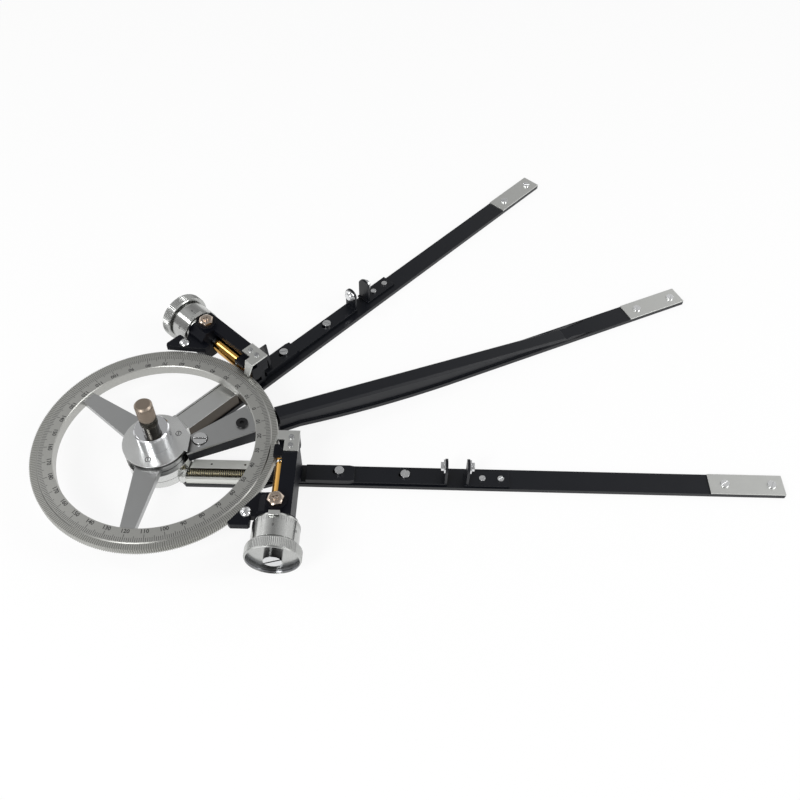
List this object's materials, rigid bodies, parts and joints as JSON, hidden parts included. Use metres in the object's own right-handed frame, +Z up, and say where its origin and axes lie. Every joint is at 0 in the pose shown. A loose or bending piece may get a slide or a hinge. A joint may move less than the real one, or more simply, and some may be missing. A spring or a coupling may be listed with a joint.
{
  "type": "three-arm protractor",
  "caption": "Station pointer with a toothed, graduated circle, a fixed arm and swinging arms set by worm drums with release slides, for plotting a position on a chart.",
  "frame": {"origin": "the pricking point: the hub axis at chart level", "axes": "+Z up from the chart; +X along the reading edge of the fixed arm, away from the hub"},
  "size_m": [0.467, 0.3451, 0.0617],
  "materials": {
    "satin_silver": "satin silver plated",
    "ground_steel": "ground",
    "polished_steel": "polished",
    "black_enamel": "satin black enamel",
    "brass": "polished",
    "spring_wire": "drawn wire",
    "bronze": "aged, knurled"
  },
  "bodies": {
    "frame": {"limb": "satin_silver", "toothed_rim": "satin_silver", "spider": "satin_silver", "hub_disc": "satin_silver", "hub_boss": "polished_steel", "hub_post": "ground_steel", "foot_flange": "satin_silver", "fixed_beam": "black_enamel", "root_plate": "satin_silver", "root_screw": "polished_steel", "root_bolt": "black_enamel", "fixed_tip": "satin_silver", "fixed_tip_screws": "polished_steel", "pricker_spring": "ground_steel"},
    "pricker": {"pricker_pin": "ground_steel", "pricker_knob": "bronze"},
    "right_arm": {"right_bar": "black_enamel", "right_collar": "satin_silver", "right_channel": "satin_silver", "right_spring": "spring_wire", "right_guide_screws": "polished_steel", "right_stop": "black_enamel", "right_stop_screws": "polished_steel", "right_tip": "satin_silver", "right_tip_screws": "polished_steel"},
    "right_release": {"right_slide": "black_enamel", "right_housing": "black_enamel", "right_wing": "black_enamel", "right_wing_screw": "polished_steel", "right_index": "satin_silver", "right_index_screws": "polished_steel", "right_lock_nut": "bronze", "right_drum_index": "satin_silver"},
    "right_worm_drum": {"right_shaft": "ground_steel", "right_worm": "brass", "right_thread": "brass", "right_drum": "satin_silver", "right_drum_screw": "polished_steel"},
    "left_arm": {"left_bar": "black_enamel", "left_collar": "satin_silver", "left_channel": "satin_silver", "left_spring": "spring_wire", "left_guide_screws": "polished_steel", "left_stop": "black_enamel", "left_stop_screws": "polished_steel", "left_tip": "satin_silver", "left_tip_screws": "polished_steel"},
    "left_release": {"left_slide": "black_enamel", "left_housing": "black_enamel", "left_wing": "black_enamel", "left_wing_screw": "polished_steel", "left_index": "satin_silver", "left_index_screws": "polished_steel", "left_lock_nut": "bronze", "left_drum_index": "satin_silver"},
    "left_worm_drum": {"left_shaft": "ground_steel", "left_worm": "brass", "left_thread": "brass", "left_drum": "satin_silver", "left_drum_screw": "polished_steel"}
  },
  "joints": [
    {"name": "pricker_press", "type": "slide", "parent": "frame", "child": "pricker", "axis": [0, 0, -1], "range_m": [0, 0.0045], "stiffness_N_per_m": 300, "springref_m": -0.003, "deforming": ["pricker_spring"]},
    {"name": "right_swing", "type": "hinge", "parent": "frame", "child": "right_arm", "pos_m": [0, 0, 0], "axis": [0, 0, 1], "range_deg": [-94, 10]},
    {"name": "right_lift", "type": "slide", "parent": "right_arm", "child": "right_release", "axis": [0.9026, -0.4305, 0], "range_m": [0, 0.0025], "stiffness_N_per_m": 400, "springref_m": -0.004, "deforming": ["right_spring"]},
    {"name": "right_turn", "type": "hinge", "parent": "right_release", "child": "right_worm_drum", "pos_m": [0.07225, -0.03446, 0.022], "axis": [0.4305, 0.9026, 0], "continuous": true},
    {"name": "left_swing", "type": "hinge", "parent": "frame", "child": "left_arm", "pos_m": [0, 0, 0], "axis": [0, 0, 1], "range_deg": [-17, 97]},
    {"name": "left_lift", "type": "slide", "parent": "left_arm", "child": "left_release", "axis": [0.9239, 0.3827, 0], "range_m": [0, 0.0025], "stiffness_N_per_m": 400, "springref_m": -0.004, "deforming": ["left_spring"]},
    {"name": "left_turn", "type": "hinge", "parent": "left_release", "child": "left_worm_drum", "pos_m": [0.07396, 0.03063, 0.022], "axis": [-0.3827, 0.9239, 0], "continuous": true}
  ],
  "couplings": [
    {"joint": "right_turn", "follows": "right_swing", "ratio": 360},
    {"joint": "left_turn", "follows": "left_swing", "ratio": -360}
  ]
}
